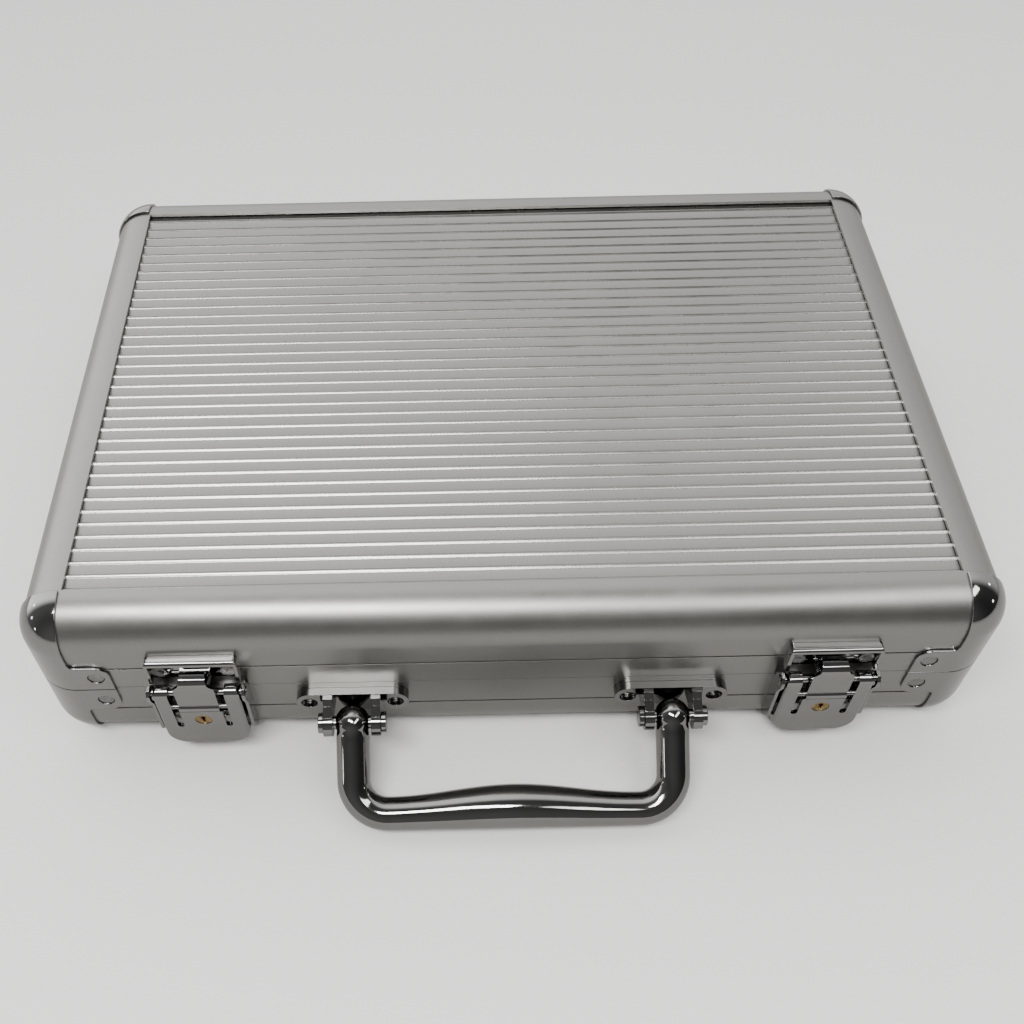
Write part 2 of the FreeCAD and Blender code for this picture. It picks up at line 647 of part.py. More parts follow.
def draw_link(x):
    """The strap that hooks over the catch, with its rolled eye standing proud on the lever."""
    out, up = LINK_PIVOT
    back = LINK_BACK
    face = back + LINK_SHEET
    end = HOOK_END_OUT
    bend = [at(x, face - inward, height) for inward, height in LINK_BEND]
    profile = closed_face([
        at(x, back, up), at(x, face, up), bend[0], (bend[1], bend[2]),
        at(x, end + HOOK_END_THICKNESS, HOOK_TOP), at(x, end, HOOK_TOP),
        at(x, end, HOOK_INNER_UP[0]), at(x, back - 0.1, HOOK_INNER_UP[1]),
    ])
    wide = LINK_HALF_WIDTH
    strap = profile.extrude(V(wide, 0, 0)).fuse(profile.extrude(V(-wide, 0, 0)))
    link = fuse([strap, rod(x - wide, x + wide, out, up, LINK_EYE_RADIUS)])
    slim = LINK_HOOK_HALF_WIDTH
    tip = slim - HOOK_TAPER
    low, high = LINK_SHOULDERS_UP
    foot = up - 2 * LINK_EYE_RADIUS
    mask = closed_face([at(x - wide, 0, foot), at(x + wide, 0, foot), at(x + wide, 0, low),
                        at(x + slim, 0, high), at(x + tip, 0, THROUGH), at(x - tip, 0, THROUGH),
                        at(x - slim, 0, high), at(x - wide, 0, low)]).extrude(V(0, -THROUGH, 0))
    hole = rod(x - wide - 1, x + wide + 1, out, up, LINK_PIN_RADIUS + RUNNING_CLEARANCE)
    return link.common(mask).cut(hole)


def catch_plate(x):
    """The lid's catch: a rimmed plate with a nose that the draw link pulls on."""
    half = CATCH_HALF_WIDTH
    sheet = CATCH_RIM_SHEET
    outer = front_block(x - half, x + half, 0, CATCH_RIM, CATCH_BOTTOM, CATCH_TOP)
    edges = []
    for edge in outer.Edges:
        points = [vertex.Point for vertex in edge.Vertexes]
        across_top = all(abs(point.z - (SEAM + CATCH_TOP)) < 0.01 for point in points)
        proud = all(abs(point.y - (FRONT - CATCH_RIM)) < 0.01 for point in points)
        along_y = abs(points[0].y - points[1].y) > 1.0
        if across_top and (proud or along_y):
            edges.append(edge)
    outer = outer.makeFillet(CATCH_EDGE_ROUND, edges)
    room = front_block(x - half + sheet, x + half - sheet, sheet, CATCH_RIM + 1, CATCH_BOTTOM - 1,
                       CATCH_TOP - CATCH_TOP_SHEET)
    nose = side_prism(CATCH_NOSE, x - CATCH_NOSE_HALF_WIDTH, x + CATCH_NOSE_HALF_WIDTH)
    plate = fuse([outer.cut(room), nose])
    for offset, up in CATCH_RIVETS:
        plate = plate.cut(rivet_hole(x + offset, up))
    return plate


def key_cylinder(x):
    """The brass lock barrel, with a keyway in its face."""
    barrel = peg(x, KEY_UP, KEY_INNER_END + CAM_THICKNESS, LEVER_FRONT - KEY_RECESS, KEY_RADIUS)
    inner = LEVER_FRONT - KEYWAY_DEPTH
    slot = front_block(x - KEYWAY_HALF_WIDTH, x + KEYWAY_HALF_WIDTH, inner, LEVER_FRONT,
                       KEY_UP - KEYWAY_HALF_HEIGHT, KEY_UP + KEYWAY_HALF_HEIGHT)
    round_part = peg(x, KEY_UP + KEYWAY_ROUND_UP, inner, LEVER_FRONT, KEYWAY_ROUND_RADIUS)
    return barrel.cut(fuse([slot, round_part]))


def lock_cam(x):
    """The tongue on the barrel's inner end, pointing down when unlocked."""
    outer_end = KEY_INNER_END + CAM_THICKNESS
    hub = peg(x, KEY_UP, KEY_INNER_END, outer_end, CAM_HUB_RADIUS)
    arm = front_block(x - CAM_HALF_WIDTH, x + CAM_HALF_WIDTH, KEY_INNER_END, outer_end,
                      KEY_UP - CAM_REACH, KEY_UP)
    return fuse([hub, arm])


# ---------- handle ----------

def handle_bracket(x):
    """A cast bracket: a round-ended plate with two ears for the handle's pin."""
    low_up = BRACKET_MIDDLE_UP - BRACKET_END_RADIUS
    high_up = BRACKET_MIDDLE_UP + BRACKET_END_RADIUS
    span = BRACKET_HALF_WIDTH - BRACKET_END_RADIUS
    plate = [front_block(x - span, x + span, 0, BRACKET_THICKNESS, low_up, high_up)]
    for offset in (-span, span):
        plate.append(peg(x + offset, BRACKET_MIDDLE_UP, 0, BRACKET_THICKNESS, BRACKET_END_RADIUS))
    pivot_out, pivot_up = HANDLE_PIVOT
    nose = EAR_NOSE_RADIUS
    for inner in (-EAR_GAP / 2 - EAR_THICKNESS, EAR_GAP / 2):
        plate.append(rod(x + inner, x + inner + EAR_THICKNESS, pivot_out, pivot_up, nose))
        outline = [(out, high_up - down) for out, down in EAR_BROW]
        outline += [(pivot_out + 0.6, pivot_up + nose), (pivot_out, pivot_up - nose), (EAR_HEEL_OUT, low_up),
                    (EAR_ROOT_OUT, low_up)]
        plate.append(side_prism(outline, x + inner, x + inner + EAR_THICKNESS))
    bracket = fuse(plate)
    reach = EAR_GAP / 2 + EAR_THICKNESS + 1
    bracket = bracket.cut(rod(x - reach, x + reach, pivot_out, pivot_up, HANDLE_PIN_RADIUS))
    for offset in (-BRACKET_RIVET_X, BRACKET_RIVET_X):
        bracket = bracket.cut(rivet_hole(x + offset, BRACKET_MIDDLE_UP))
        recess = rivet_recess(x + offset, BRACKET_MIDDLE_UP, BRACKET_RECESS_FLOOR, BRACKET_THICKNESS)
        bracket = bracket.cut(recess)
    return bracket


def handle_pin(x):
    reach = EAR_GAP / 2 + EAR_THICKNESS
    out, up = HANDLE_PIVOT
    shaft = rod(x - reach, x + reach, out, up, HANDLE_PIN_RADIUS)
    heads = [rod(x - reach - PIN_HEAD_LENGTH, x - reach, out, up, PIN_HEAD_RADIUS),
             rod(x + reach, x + reach + PIN_HEAD_LENGTH, out, up, PIN_HEAD_RADIUS)]
    return fuse([shaft] + heads)


def handle():
    """The carrying handle: one casting with ball ends and a grip that swells on the inside."""
    drop = math.radians(HANDLE_DROP_DEG)
    out, up = HANDLE_PIVOT

    def on(x, reach):
        return at(x, out + reach * math.cos(drop), up - reach * math.sin(drop))

    corner = HANDLE_CORNER_RADIUS
    bend = corner * (1 - math.sqrt(0.5))
    solids = []
    for side in (-1, 1):
        foot = on(side * BRACKET_X, 0)
        knee = on(side * BRACKET_X, HANDLE_REACH - corner)
        mid = on(side * (BRACKET_X - bend), HANDLE_REACH - bend)
        end = on(side * (BRACKET_X - corner), HANDLE_REACH)
        path = Part.Wire([Part.LineSegment(foot, knee).toShape(), Part.Arc(knee, mid, end).toShape()])
        section = Part.Wire([Part.makeCircle(HANDLE_RADIUS, foot, knee - foot)])
        solids.append(path.makePipeShell([section], True, True))
        solids.append(Part.makeSphere(HANDLE_BALL_RADIUS, foot))
    grip_half = BRACKET_X - corner
    rings = []
    for index in range(GRIP_SECTIONS):
        x = grip_half * (2.0 * index / (GRIP_SECTIONS - 1) - 1.0)
        radius = HANDLE_RADIUS + HANDLE_BULGE * math.cos(math.pi * x / grip_half / 2) ** 2
        middle = on(x, HANDLE_REACH + HANDLE_RADIUS - radius)
        rings.append(Part.Wire([Part.makeCircle(radius, middle, X_AXIS)]))
    solids.append(Part.makeLoft(rings, True, False))
    bar = fuse(solids)
    reach = BRACKET_X + 20.0
    return bar.cut(rod(-reach, reach, out, up, HANDLE_PIN_RADIUS + RUNNING_CLEARANCE))


# ---------- hinges, drawn at the front and turned to the rear ----------

def hinge_leaf(x, own_first):
    """One leaf of a butt hinge, above the seam; own_first says which knuckles are its own."""
    pitch = 2 * HINGE_HALF_WIDTH / HINGE_KNUCKLES
    clear = HINGE_KNUCKLE_RADIUS + 0.4
    solids = [front_block(x - HINGE_HALF_WIDTH, x + HINGE_HALF_WIDTH, 0, HINGE_SHEET, clear, HINGE_LEAF_TOP)]
    for index in range(HINGE_KNUCKLES):
        if (index % 2 == 0) == own_first:
            low = x - HINGE_HALF_WIDTH + pitch * index + HINGE_KNUCKLE_GAP
            high = low + pitch - 2 * HINGE_KNUCKLE_GAP
            solids.append(rod(low, high, HINGE_AXIS_OUT, 0, HINGE_KNUCKLE_RADIUS))
            solids.append(front_block(low, high, HINGE_SHEET / 3, HINGE_SHEET, HINGE_SHEET / 3, clear + 0.5))
    leaf = fuse(solids)
    leaf = leaf.cut(rod(x - HINGE_HALF_WIDTH - 1, x + HINGE_HALF_WIDTH + 1, HINGE_AXIS_OUT, 0,
                        HINGE_PIN_RADIUS + (0 if own_first else RUNNING_CLEARANCE)))
    for offset, up in HINGE_RIVETS:
        leaf = leaf.cut(rivet_hole(x + offset, up))
    return to_side(leaf, "rear")


def hinge_pin(x):
    pin = rod(x - HINGE_HALF_WIDTH, x + HINGE_HALF_WIDTH, HINGE_AXIS_OUT, 0, HINGE_PIN_RADIUS)
    return to_side(pin, "rear")


# ---------- build ----------

def rivet_group(centres, spots, seat_out, side="front"):
    made = []
    for x in centres:
        for offset, up in spots:
            made.append(to_side(rivet(x + offset, up, seat_out), side))
    return Part.makeCompound(made)


def spread(centres, spots):
    """Every spot repeated at every centre."""
    return [(x + offset, up) for x in centres for offset, up in spots]


def flip_up(spots):
    return [(x, -up) for x, up in spots]


def build_frames(shell, core):
    """Rails, panels, corners and their rivets for both halves."""
    latches = (-LATCH_X, LATCH_X)
    hinges = (-HINGE_X, HINGE_X)
    bracket_spots = [(-BRACKET_RIVET_X, BRACKET_MIDDLE_UP), (BRACKET_RIVET_X, BRACKET_MIDDLE_UP)]
    lid_front = spread(latches, CATCH_RIVETS)
    base_front = flip_up(spread(latches, LATCH_RIVETS) + spread((-BRACKET_X, BRACKET_X), bracket_spots))
    rear = spread(hinges, HINGE_RIVETS)
    caps = corner_caps(shell)
    for half in ("lid", "base"):
        groove = LID_GROOVE_UP if half == "lid" else BASE_GROOVE_DOWN
        front = lid_front if half == "lid" else base_front
        place = to_base if half == "base" else (lambda shape: shape)
        own = {"front": front, "rear": rear, "left": [], "right": []}
        for side, spots in own.items():
            length = WIDTH if side in ("front", "rear") else DEPTH
            holes = holes_at(spots + corner_rivet_spots(length))
            made = rail(length, groove, core, side, holes, half == "base")
            save(place(made), half + "_" + side + "_rail")
        save(place(ribbed_panel()), half + "_panel")
        for where, cap in caps.items():
            save(place(cap), half + "_" + where + "_corner")
        save(place(corner_rivets()), half + "_corner_rivets")
        save(place(lining()), half + "_lining")


def build_inside():
    save(foam_pad(), "lid_foam_pad")
    save(chip_tray(), "chip_tray")


def build_latches():
    for name, x in (("left", -LATCH_X), ("right", LATCH_X)):
        save(latch_plate(x), name + "_latch_plate")
        save(latch_lever(x), name + "_latch_lever")
        save(link_pin(x), name + "_link_pin")
        save(draw_link(x), name + "_draw_link")
        save(catch_plate(x), name + "_catch_plate")
        save(key_cylinder(x), name + "_key_cylinder")
        save(lock_cam(x), name + "_lock_cam")
    centres = (-LATCH_X, LATCH_X)
    save(Part.makeCompound([lever_pin(x) for x in centres]), "latch_lever_pins")
    save(rivet_group(centres, LATCH_RIVETS, LATCH_SHEET), "latch_plate_rivets")
    save(rivet_group(centres, CATCH_RIVETS, CATCH_RIM_SHEET), "catch_plate_rivets")


def build_handle():
    centres = (-BRACKET_X, BRACKET_X)
    for name, x in (("left", -BRACKET_X), ("right", BRACKET_X)):
        save(handle_bracket(x), name + "_handle_bracket")
    spots = [(-BRACKET_RIVET_X, BRACKET_MIDDLE_UP), (BRACKET_RIVET_X, BRACKET_MIDDLE_UP)]
    save(rivet_group(centres, spots, BRACKET_RECESS_FLOOR), "handle_bracket_rivets")
    save(Part.makeCompound([handle_pin(x) for x in centres]), "handle_pins")
    save(handle(), "handle")


def build_hinges():
    centres = (-HINGE_X, HINGE_X)
    for name, x in (("right", -HINGE_X), ("left", HINGE_X)):
        save(to_base(hinge_leaf(x, True)), name + "_hinge_base_leaf")
        save(hinge_leaf(x, False), name + "_hinge_lid_leaf")
    save(Part.makeCompound([hinge_pin(x) for x in centres]), "hinge_pins")
    rivets = rivet_group(centres, HINGE_RIVETS, HINGE_SHEET, "rear")
    save(rivets, "hinge_lid_rivets")
    save(to_base(rivets), "hinge_base_rivets")


os.makedirs("parts", exist_ok=True)
rail_form = rounded_block(CORNER_TRIM_SLACK)
cap_shell = rounded_block(CAP_GAP + CAP_THICKNESS).cut(rounded_block(CAP_GAP))
build_frames(cap_shell, rail_form)
build_inside()
build_latches()
build_handle()
build_hinges()
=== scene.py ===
import json
import math

import bmesh
import bpy
from mathutils import Matrix, Vector
from mathutils.kdtree import KDTree


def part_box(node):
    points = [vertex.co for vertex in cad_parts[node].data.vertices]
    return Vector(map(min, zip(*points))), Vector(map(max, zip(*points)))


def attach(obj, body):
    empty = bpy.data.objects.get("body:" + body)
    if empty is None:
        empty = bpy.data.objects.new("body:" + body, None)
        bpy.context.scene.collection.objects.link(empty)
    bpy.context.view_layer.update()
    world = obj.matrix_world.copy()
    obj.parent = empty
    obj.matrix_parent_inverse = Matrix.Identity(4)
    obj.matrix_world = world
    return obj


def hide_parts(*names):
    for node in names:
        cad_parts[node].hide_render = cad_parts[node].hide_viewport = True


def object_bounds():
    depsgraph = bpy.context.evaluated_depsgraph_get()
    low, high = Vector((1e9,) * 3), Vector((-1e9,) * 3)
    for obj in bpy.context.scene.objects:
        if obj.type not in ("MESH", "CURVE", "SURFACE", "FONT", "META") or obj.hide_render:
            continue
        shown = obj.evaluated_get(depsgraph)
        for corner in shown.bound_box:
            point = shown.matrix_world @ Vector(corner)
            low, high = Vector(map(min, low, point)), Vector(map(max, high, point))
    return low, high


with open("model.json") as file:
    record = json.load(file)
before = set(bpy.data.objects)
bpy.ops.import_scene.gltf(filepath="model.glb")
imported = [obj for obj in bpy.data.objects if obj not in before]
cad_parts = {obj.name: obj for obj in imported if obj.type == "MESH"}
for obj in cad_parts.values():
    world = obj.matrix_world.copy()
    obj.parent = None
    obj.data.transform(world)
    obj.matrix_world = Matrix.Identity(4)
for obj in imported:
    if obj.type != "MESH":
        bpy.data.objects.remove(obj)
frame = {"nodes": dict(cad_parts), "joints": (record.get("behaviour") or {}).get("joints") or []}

MM = 0.001
CAD_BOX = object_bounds()
FLOOR_Z = CAD_BOX[0][2]
JOINT_POS = {joint["name"]: Vector(joint["pos_m"]) for joint in frame["joints"]}


# ---------- camera ----------

CAMERA_PLACE = Vector((-0.0163, -0.286, 0.3385))
CAMERA_DOWN_DEG = 51.85
CAMERA_TURN_DEG = 0.24
CAMERA_ROLL_DEG = -1.41
CAMERA_LENS_MM = 40.4
CAMERA_SHIFT = (0.058, 0.015)


def make_camera():
    data = bpy.data.cameras.new("camera")
    data.lens = CAMERA_LENS_MM
    data.sensor_width = 36.0
    data.shift_x, data.shift_y = CAMERA_SHIFT
    data.clip_start = 0.01
    camera = bpy.data.objects.new("camera", data)
    bpy.context.scene.collection.objects.link(camera)
    aim = Matrix.Rotation(math.radians(CAMERA_TURN_DEG), 4, "Z")
    aim = aim @ Matrix.Rotation(math.radians(90.0 - CAMERA_DOWN_DEG), 4, "X")
    aim = aim @ Matrix.Rotation(math.radians(CAMERA_ROLL_DEG), 4, "Z")
    camera.matrix_world = Matrix.Translation(CAMERA_PLACE) @ aim
    bpy.context.scene.camera = camera


# ---------- node helpers ----------

class Shader:
    """A material's node tree with short calls for the nodes used here."""

    def __init__(self, name, **values):
        self.material = bpy.data.materials.new(name)
        self.material.use_nodes = True
        self.tree = self.material.node_tree
        self.shader = self.tree.nodes["Principled BSDF"]
        for key, value in values.items():
            self.shader.inputs[key.replace("_", " ")].default_value = value

    def node(self, kind, inputs=(), **settings):
        made = self.tree.nodes.new(kind)
        for key, value in settings.items():
            setattr(made, key, value)
        for key, value in dict(inputs).items():
            if isinstance(value, bpy.types.NodeSocket):
                self.tree.links.new(value, made.inputs[key])
            else:
                made.inputs[key].default_value = value
        return made

    def place(self):
        """Row-frame coordinates."""
        return self.node("ShaderNodeTexCoord").outputs["Object"]

    def noise(self, where, scale, detail=2.0, roughness=0.5):
        made = self.node("ShaderNodeTexNoise", {"Vector": where, "Scale": scale, "Detail": detail,
                                                "Roughness": roughness})
        return made.outputs["Fac"]

    def remap(self, value, low, high, to_low, to_high):
        made = self.node("ShaderNodeMapRange", {"Value": value, "From Min": low, "From Max": high,
                                                "To Min": to_low, "To Max": to_high})
        return made.outputs[0]

    def math(self, operation, first, second=0.0):
        made = self.node("ShaderNodeMath", {0: first, 1: second}, operation=operation)
        return made.outputs[0]

    def mix(self, factor, first, second):
        """Colour mix."""
        made = self.node("ShaderNodeMix", data_type="RGBA")
        for index, value in ((0, factor), (6, first), (7, second)):
            if isinstance(value, bpy.types.NodeSocket):
                self.tree.links.new(value, made.inputs[index])
            else:
                made.inputs[index].default_value = value
        return made.outputs[2]

    def bump(self, height, strength, distance, under=None):
        inputs = {"Height": height, "Strength": strength, "Distance": distance}
        if under is not None:
            inputs["Normal"] = under
        return self.node("ShaderNodeBump", inputs).outputs[0]

    def link(self, value, key):
        self.tree.links.new(value, self.shader.inputs[key])
        return self


def rgb(value, tint=(1.0, 1.0, 1.0)):
    return (value * tint[0], value * tint[1], value * tint[2], 1.0)


# ---------- materials ----------

def anodised(name, tone, roughness, grain_depth=0.10):
    """Satin anodised aluminium: a fine etched grain, with slight clouds and handling smudges."""
    made = Shader(name, Metallic=1.0)
    grain = made.noise(made.place(), 3200.0, 2.0, 0.6)
    cloud = made.noise(made.place(), 14.0, 4.0, 0.6)
    smudge = made.noise(made.place(), 60.0, 5.0, 0.65)
    tone_now = made.remap(cloud, 0.3, 0.7, tone * 0.97, tone * 1.02)
    speck = made.remap(grain, 0.35, 0.7, 0.93, 1.06)
    value = made.math("MULTIPLY", tone_now, speck)
    colour = made.node("ShaderNodeCombineColor", {0: value, 1: made.math("MULTIPLY", value, 0.995),
                                                  2: made.math("MULTIPLY", value, 0.955)}).outputs[0]
    rough = made.remap(smudge, 0.35, 0.7, roughness - 0.02, roughness + 0.04)
    normal = made.bump(grain, grain_depth, 0.00004)
    made.link(colour, "Base Color").link(rough, "Roughness").link(normal, "Normal")
    return made.material


def chrome(name, tone=0.27, roughness=0.04, waviness=0.05):
    """Bright plating: a little haze, faint handling marks and soft press waves."""
    made = Shader(name, Metallic=1.0)
    haze = made.noise(made.place(), 90.0, 5.0, 0.7)
    fine = made.noise(made.place(), 2400.0, 3.0, 0.6)
    wave = made.noise(made.place(), 130.0, 1.0, 0.4)
    colour = made.mix(made.remap(haze, 0.35, 0.7, 0.0, 1.0), rgb(tone), rgb(tone * 0.93, (1.0, 0.985, 0.96)))
    rough = made.remap(haze, 0.4, 0.75, roughness, roughness + 0.07)
    rough = made.math("ADD", rough, made.remap(fine, 0.5, 0.8, 0.0, 0.04))
    normal = made.bump(wave, waviness, 0.0006)
    normal = made.bump(fine, 0.04, 0.00004, normal)
    made.link(colour, "Base Color").link(rough, "Roughness").link(normal, "Normal")
    return made.material


def rivet_steel():
    made = Shader("rivet_steel", Metallic=1.0)
    stain = made.noise(made.place(), 320.0, 4.0, 0.65)
    colour = made.mix(made.remap(stain, 0.35, 0.7, 0.0, 1.0), rgb(0.26), rgb(0.18, (1.0, 0.97, 0.92)))
    normal = made.bump(made.noise(made.place(), 2600.0, 3.0, 0.6), 0.2, 0.00008)
    made.link(colour, "Base Color").link(made.remap(stain, 0.3, 0.7, 0.2, 0.38), "Roughness")
    made.link(normal, "Normal")
    return made.material


def brass():
    made = Shader("brass", Metallic=1.0)
    tarnish = made.noise(made.place(), 700.0, 4.0, 0.6)
    colour = made.mix(made.remap(tarnish, 0.35, 0.65, 0.0, 1.0), (0.36, 0.25, 0.10, 1), (0.17, 0.11, 0.05, 1))
    rings = made.noise(made.place(), 3600.0, 2.0, 0.5)
    made.link(colour, "Base Color").link(made.remap(tarnish, 0.3, 0.7, 0.22, 0.42), "Roughness")
    made.link(made.bump(rings, 0.2, 0.00008), "Normal")
    return made.material


def cloth(name, colour, weave=True):
    """Short-pile felt: fine fibres, a soft sheen and slightly uneven dye."""
    made = Shader(name, Sheen_Weight=0.45, Sheen_Roughness=0.45)
    patch = made.noise(made.place(), 45.0, 4.0, 0.6)
    fibre = made.noise(made.place(), 2400.0, 4.0, 0.7)
    dark = tuple(channel * 0.62 for channel in colour) + (1.0,)
    light = tuple(min(1.0, channel * 1.35) for channel in colour) + (1.0,)
    mixed = made.mix(made.remap(fibre, 0.3, 0.72, 0.0, 1.0), dark, light)
    mixed = made.mix(made.remap(patch, 0.3, 0.7, 0.0, 0.35), mixed, dark)
    normal = made.bump(fibre, 0.55, 0.00025)
    if weave:
        normal = made.bump(patch, 0.2, 0.0006, normal)
    made.link(mixed, "Base Color").link(made.remap(fibre, 0.3, 0.7, 0.82, 0.97), "Roughness")
    made.link(normal, "Normal")
    return made.material


FLOOR_TONE = 0.84
FLOOR_PAINTED_REFLECTION_TONE = 0.46                  # the floor's darker tone, painted into its reflections in polished metal (a painted reflection)


def floor_paper():
    """Pale paper, with a darker tone painted into its reflections in polished metal: a painted reflection in
    place of a darker card.
    """
    made = Shader("floor_paper", Roughness=0.75)
    tooth = made.noise(made.place(), 900.0, 3.0, 0.6)
    warm = rgb(FLOOR_TONE, (1.0, 0.995, 0.985))
    pale = made.mix(made.remap(tooth, 0.3, 0.7, 0.0, 1.0), warm, rgb(FLOOR_TONE + 0.03))
    # painted reflection: glossy rays see the floor darker than camera rays do, which darkens the metal's
    # mirrored floor
    painted_reflection_mask = made.node("ShaderNodeLightPath").outputs["Is Glossy Ray"]
    colour = made.mix(painted_reflection_mask, pale, rgb(FLOOR_PAINTED_REFLECTION_TONE, (1.0, 0.98, 0.95)))
    made.link(colour, "Base Color").link(made.bump(tooth, 0.05, 0.0002), "Normal")
    return made.material


MATERIALS = {
    "rail": anodised("anodised_rail", 0.28, 0.35),
    "panel": anodised("ribbed_panel", 0.29, 0.26, 0.03),
    "chrome": chrome("chrome"),
    "cast_chrome": chrome("cast_chrome", 0.25, 0.05, 0.09),
    "rivet": rivet_steel(),
    "brass": brass(),
    "lining": cloth("lining_cloth", (0.027, 0.027, 0.029)),
    "foam": cloth("foam_cloth", (0.036, 0.036, 0.038)),
    "thread": cloth("pad_thread", (0.16, 0.16, 0.165), weave=False),
    "tray": cloth("flocked_tray", (0.022, 0.022, 0.026), weave=False),
}


# ---------- mesh helpers ----------

WELD_GAP = 2e-6                             # points nearer than this are joined
FLAT_DEG = 0.6                              # flatter edges are dissolved before the rounding
CORNER_DEG = 32.0                           # sharper edges are rounded
EASED_SHARP_DEG = 50.0
PANEL_SHARP_DEG = 40.0
HANDLE_SHARP_DEG = 60.0
TRAY_SHARP_DEG = 35.0
ALL_SMOOTH_DEG = 180.0


def paint(thing, material):
    """Gives an object one material."""
    thing.data.materials.clear()
    thing.data.materials.append(material)
    for face in thing.data.polygons:
        face.material_index = 0


def add_piece(name, mesh, material, body):
    """Links a finished mesh as a piece that rides on a body."""
    piece = bpy.data.objects.new(name, mesh)
    bpy.context.scene.collection.objects.link(piece)
    paint(piece, material)
    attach(piece, body)
    return piece


def smooth_by_angle(mesh, degrees):
    """Smooth shading, with edges above the angle kept sharp."""
    for face in mesh.polygons:
        face.use_smooth = True
    mesh.set_sharp_from_angle(angle=math.radians(degrees))


def applied(thing):
    """The object's mesh with its modifiers applied."""
    graph = bpy.context.evaluated_depsgraph_get()
    return bpy.data.meshes.new_from_object(thing.evaluated_get(graph))


def opened_copy(node):
    """A copy of a CAD node's mesh, and a work mesh of it with doubled points joined."""
    mesh = frame["nodes"][node].data.copy()
    work = bmesh.new()
    work.from_mesh(mesh)
    bmesh.ops.remove_doubles(work, verts=work.verts, dist=WELD_GAP)
    return mesh, work


def close_copy(work, mesh):
    """Writes the work mesh back, without the normals that no longer fit it."""
    work.to_mesh(mesh)
    work.free()
    if "custom_normal" in mesh.attributes:
        mesh.attributes.remove(mesh.attributes["custom_normal"])


def eased_copy(node, width, segments):
    """A copy of a CAD node's mesh with every sharp edge rounded, as pressed or cast metal has."""
    mesh, work = opened_copy(node)
    bmesh.ops.dissolve_limit(work, angle_limit=math.radians(FLAT_DEG), verts=work.verts, edges=work.edges)
    close_copy(work, mesh)
    holder = bpy.data.objects.new("holder", mesh)
    bpy.context.scene.collection.objects.link(holder)
    bevel = holder.modifiers.new("bevel", "BEVEL")
    bevel.width = width
    bevel.segments = segments
    bevel.limit_method = "ANGLE"
    bevel.angle_limit = math.radians(CORNER_DEG)
    bevel.harden_normals = False
    weighted = holder.modifiers.new("normals", "WEIGHTED_NORMAL")
    weighted.keep_sharp = True
    smooth_by_angle(mesh, EASED_SHARP_DEG)
    bpy.context.view_layer.update()
    made = applied(holder)
    bpy.data.objects.remove(holder)
    return made


def ease(nodes, width, material, body, segments=2):
    """Stands a round-edged copy in for each of these CAD nodes."""
    for node in nodes:
        mesh = eased_copy(node, width, segments)
        piece = add_piece(node + "_finish", mesh, material, body)
        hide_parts(node)


# ---------- lights and floor ----------

WORLD_STOPS = ((0.0, 0.10), (0.25, 0.05), (0.50, 0.08), (0.66, 1.0), (1.0, 0.72))   # front to rear, brightness
WORLD_SIDES = (3.3, 0.9)                    # strength at the left and right
KEY_PLACE = (-0.20, -0.47, 0.95)
KEY_TARGET = (0.0, -0.10, 0.05)
KEY_SIZE = (0.56, 0.17)
KEY_POWER = 10.5
FILL_PLACE = (0.50, -0.47, 0.95)
FILL_SIZE = (0.8, 0.2)
FILL_POWER = 4.5
LAMP_SIZE = (0.06, 0.06)
LAMP_PLACES = ((-1.05, 0.12, 0.41), (-1.11, -0.19, 0.26), (-1.05, -0.51, 0.14), (1.0, 0.1, 0.45),
               (1.05, -0.3, 0.25))
LAMP_POWER = 0.12
STRIP_COLOUR = (1.0, 0.99, 0.97)
FLOOR_SIZE = 6.0
FLOOR_GAP = 0.2 * MM                        # how far the floor lies below the case


def make_floor():
    bpy.ops.mesh.primitive_plane_add(size=FLOOR_SIZE, location=(0, 0, FLOOR_Z - FLOOR_GAP))
    floor = bpy.context.object
    floor.name = "floor"
    floor.data.materials.append(floor_paper())


def area_light(name, place, target, size, power, colour=(1.0, 1.0, 1.0)):
    data = bpy.data.lights.new(name, "AREA")
    data.shape = "RECTANGLE"
    data.size, data.size_y = size
    data.energy = power
    data.color = colour
    lamp = bpy.data.objects.new(name, data)
    bpy.context.scene.collection.objects.link(lamp)
    lamp.location = place
    lamp.rotation_euler = (Vector(target) - Vector(place)).to_track_quat("-Z", "Y").to_euler()


def make_world():
    """A room that is dark overhead and behind the camera, and bright beyond the case, more so on the left."""
    world = bpy.data.worlds.new("studio")
    bpy.context.scene.world = world
    world.use_nodes = True
    tree = world.node_tree
    background = tree.nodes["Background"]
    coordinates = tree.nodes.new("ShaderNodeTexCoord")
    split = tree.nodes.new("ShaderNodeSeparateXYZ")
    depth = tree.nodes.new("ShaderNodeMapRange")
    depth.inputs["From Min"].default_value = -1.0
    ramp = tree.nodes.new("ShaderNodeValToRGB")
    ramp.color_ramp.interpolation = "EASE"
    side = tree.nodes.new("ShaderNodeMapRange")
    side.inputs["From Min"].default_value = -1.0
    side.inputs["To Min"].default_value, side.inputs["To Max"].default_value = WORLD_SIDES
    for first, second in ((coordinates.outputs["Generated"], split.inputs[0]),
                          (split.outputs["Y"], depth.inputs["Value"]), (depth.outputs[0], ramp.inputs[0]),
                          (ramp.outputs[0], background.inputs["Color"]),
                          (split.outputs["X"], side.inputs["Value"]),
                          (side.outputs[0], background.inputs["Strength"])):
        tree.links.new(first, second)
    stops = ramp.color_ramp.elements
    while len(stops) < len(WORLD_STOPS):
        stops.new(0.5)
    for stop, (position, value) in zip(stops, WORLD_STOPS):
        stop.position = position
        stop.color = rgb(value, (1.0, 0.995, 0.98))


